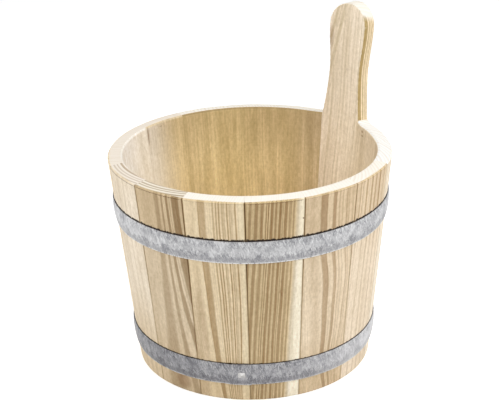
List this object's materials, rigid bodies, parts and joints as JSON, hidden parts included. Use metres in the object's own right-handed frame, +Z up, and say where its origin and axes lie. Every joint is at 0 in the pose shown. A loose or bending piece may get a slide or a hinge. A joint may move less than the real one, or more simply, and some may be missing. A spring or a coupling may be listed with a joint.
{
  "type": "sauna bucket",
  "caption": "Round tapering wooden bucket of staves held by two steel hoops, one long stave shaped as an upright paddle handle; holds and carries water.",
  "frame": {"origin": "middle of the foot, on the surface that the bucket stands on", "axes": "+Z up through the bucket's axis; -Y the front, where the lower hoop's rivet is; the handle stands behind and to the right, 130 degrees round from the front"},
  "size_m": [0.2598, 0.2596, 0.3125],
  "materials": {
    "stave_wood": "bare planed softwood, brushed so that the grain stands out",
    "handle_wood": "bare sanded softwood",
    "bottom_wood": "bare planed softwood",
    "dowel_wood": "bare turned wood",
    "galvanised_steel": "hot-dip galvanised, dull, mottled",
    "rivet_steel": "zinc plated, bright"
  },
  "bodies": {
    "root": {"stave_01": "stave_wood", "stave_02": "stave_wood", "stave_03": "stave_wood", "stave_04": "stave_wood", "stave_05": "stave_wood", "stave_06": "stave_wood", "stave_07": "stave_wood", "stave_08": "stave_wood", "stave_09": "stave_wood", "stave_10": "stave_wood", "stave_11": "stave_wood", "stave_12": "stave_wood", "stave_13": "stave_wood", "stave_14": "stave_wood", "handle_stave": "handle_wood", "bottom_board_1": "bottom_wood", "bottom_board_2": "bottom_wood", "bottom_board_3": "bottom_wood", "bottom_board_4": "bottom_wood", "bottom_dowel_1": "dowel_wood", "bottom_dowel_2": "dowel_wood", "bottom_dowel_3": "dowel_wood", "bottom_dowel_4": "dowel_wood", "bottom_dowel_5": "dowel_wood", "bottom_dowel_6": "dowel_wood", "lower_hoop": "galvanised_steel", "upper_hoop": "galvanised_steel", "lower_hoop_rivet": "rivet_steel", "upper_hoop_rivet": "rivet_steel"}
  },
  "joints": []
}
